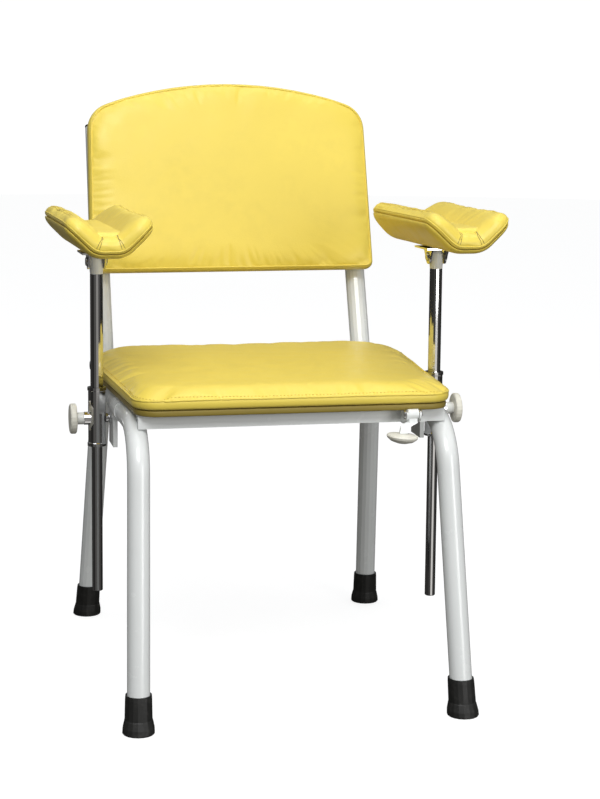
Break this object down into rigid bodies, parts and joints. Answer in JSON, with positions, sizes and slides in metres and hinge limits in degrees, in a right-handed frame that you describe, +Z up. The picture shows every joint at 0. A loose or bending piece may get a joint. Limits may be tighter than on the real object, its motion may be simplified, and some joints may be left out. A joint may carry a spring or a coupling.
{
  "type": "blood donor chair",
  "caption": "Padded chair for giving blood: bent tube frame, reclining back, and two height-adjustable swivelling arm troughs on clamped posts.",
  "frame": {"origin": "on the floor, under the middle of the chair's overall box", "axes": "+Z up, -Y the way the sitter faces, +X the sitter's left hand"},
  "size_m": [0.6424, 0.7043, 0.8712],
  "materials": {
    "powder_coat": "gloss white powder coat",
    "vinyl": "yellow upholstery vinyl, soft sheen",
    "vinyl_dark": "yellow vinyl on the underside, in shade",
    "plywood": "bare plywood",
    "rubber": "black, matt",
    "chrome": "polished",
    "zinc_steel": "zinc plated",
    "cream_plastic": "cream",
    "white_nylon": "white",
    "brass": "plain",
    "black_enamel": "black enamel"
  },
  "bodies": {
    "frame": {"left_front_leg_and_rail": "powder_coat", "left_rear_leg": "powder_coat", "left_front_ferrule": "rubber", "left_rear_ferrule": "rubber", "left_hinge_bracket": "powder_coat", "left_hinge_bolt": "zinc_steel", "left_rail_collar": "powder_coat", "left_stub_bolt": "chrome", "left_clamp_sleeve": "chrome", "right_front_leg_and_rail": "powder_coat", "right_rear_leg": "powder_coat", "right_front_ferrule": "rubber", "right_rear_ferrule": "rubber", "right_hinge_bracket": "powder_coat", "right_hinge_bolt": "zinc_steel", "right_rail_collar": "powder_coat", "right_stub_bolt": "chrome", "right_clamp_sleeve": "chrome", "front_crossbar": "powder_coat", "rear_crossbar": "powder_coat", "seat_board": "plywood", "seat_cushion": "vinyl", "strut_bracket": "powder_coat", "strut_cylinder": "black_enamel", "lever_bracket": "powder_coat", "lever_pin": "chrome"},
    "backrest": {"left_back_upright": "powder_coat", "right_back_upright": "powder_coat", "back_cross_tube": "powder_coat", "back_board": "plywood", "back_cushion": "vinyl", "back_bolt_1": "zinc_steel", "back_bolt_2": "zinc_steel", "back_bolt_3": "zinc_steel", "back_bolt_4": "zinc_steel", "crank_arm": "powder_coat"},
    "strut_rod": {"strut_rod": "chrome"},
    "release_lever": {"release_lever": "powder_coat", "lever_knob": "cream_plastic"},
    "left_post": {"left_post_rod": "chrome"},
    "left_arm": {"left_post_tube": "chrome", "left_swivel_head": "white_nylon", "left_tilt_pin": "zinc_steel"},
    "left_trough": {"left_pad_bracket": "chrome", "left_arm_board": "vinyl_dark", "left_arm_cushion": "vinyl"},
    "left_pressure_pad": {"left_clamp_pad": "brass"},
    "left_clamp": {"left_clamp_screw": "white_nylon", "left_clamp_knob": "cream_plastic"},
    "right_post": {"right_post_rod": "chrome"},
    "right_arm": {"right_post_tube": "chrome", "right_swivel_head": "white_nylon", "right_tilt_pin": "zinc_steel"},
    "right_trough": {"right_pad_bracket": "chrome", "right_arm_board": "vinyl_dark", "right_arm_cushion": "vinyl"},
    "right_pressure_pad": {"right_clamp_pad": "brass"},
    "right_clamp": {"right_clamp_screw": "white_nylon", "right_clamp_knob": "cream_plastic"}
  },
  "joints": [
    {"name": "backrest_recline", "type": "hinge", "parent": "frame", "child": "backrest", "pos_m": [0, 0.217, 0.425], "axis": [-1, 0, 0], "range_deg": [0, 30]},
    {"name": "strut_slide", "type": "slide", "parent": "frame", "child": "strut_rod", "axis": [0, -0.9937, 0.112], "range_m": [0, 0.029]},
    {"name": "lever_pull", "type": "hinge", "parent": "frame", "child": "release_lever", "pos_m": [0.1665, -0.272, 0.4245], "axis": [-1, 0, 0], "range_deg": [0, 20], "stiffness_Nm_per_rad": 0.4, "springref_deg": -8.59},
    {"name": "left_arm_height", "type": "slide", "parent": "frame", "child": "left_post", "axis": [0, 0, 1], "range_m": [-0.012, 0.18]},
    {"name": "left_arm_swivel", "type": "hinge", "parent": "left_post", "child": "left_arm", "pos_m": [0.257, -0.062, 0.6], "axis": [0, 0, 1], "range_deg": [-90, 90]},
    {"name": "left_arm_tilt", "type": "hinge", "parent": "left_arm", "child": "left_trough", "pos_m": [0.257, -0.062, 0.6245], "axis": [1, 0, 0], "range_deg": [-20, 20]},
    {"name": "left_clamp_travel", "type": "slide", "parent": "frame", "child": "left_pressure_pad", "axis": [1, 0, 0], "range_m": [0, 0.0026]},
    {"name": "left_clamp_turn", "type": "hinge", "parent": "left_pressure_pad", "child": "left_clamp", "pos_m": [0.257, -0.062, 0.392], "axis": [1, 0, 0], "range_deg": [0, 720]},
    {"name": "right_arm_height", "type": "slide", "parent": "frame", "child": "right_post", "axis": [0, 0, 1], "range_m": [-0.012, 0.18]},
    {"name": "right_arm_swivel", "type": "hinge", "parent": "right_post", "child": "right_arm", "pos_m": [-0.257, -0.062, 0.6], "axis": [0, 0, 1], "range_deg": [-90, 90]},
    {"name": "right_arm_tilt", "type": "hinge", "parent": "right_arm", "child": "right_trough", "pos_m": [-0.257, -0.062, 0.6245], "axis": [1, 0, 0], "range_deg": [-20, 20]},
    {"name": "right_clamp_travel", "type": "slide", "parent": "frame", "child": "right_pressure_pad", "axis": [-1, 0, 0], "range_m": [0, 0.0026]},
    {"name": "right_clamp_turn", "type": "hinge", "parent": "right_pressure_pad", "child": "right_clamp", "pos_m": [-0.257, -0.062, 0.392], "axis": [-1, 0, 0], "range_deg": [0, 720]}
  ],
  "couplings": [
    {"joint": "strut_slide", "follows": "backrest_recline", "m_per_rad": 0.05437},
    {"joint": "left_clamp_travel", "follows": "left_clamp_turn", "m_per_rad": 0.000199},
    {"joint": "right_clamp_travel", "follows": "right_clamp_turn", "m_per_rad": 0.000199}
  ]
}
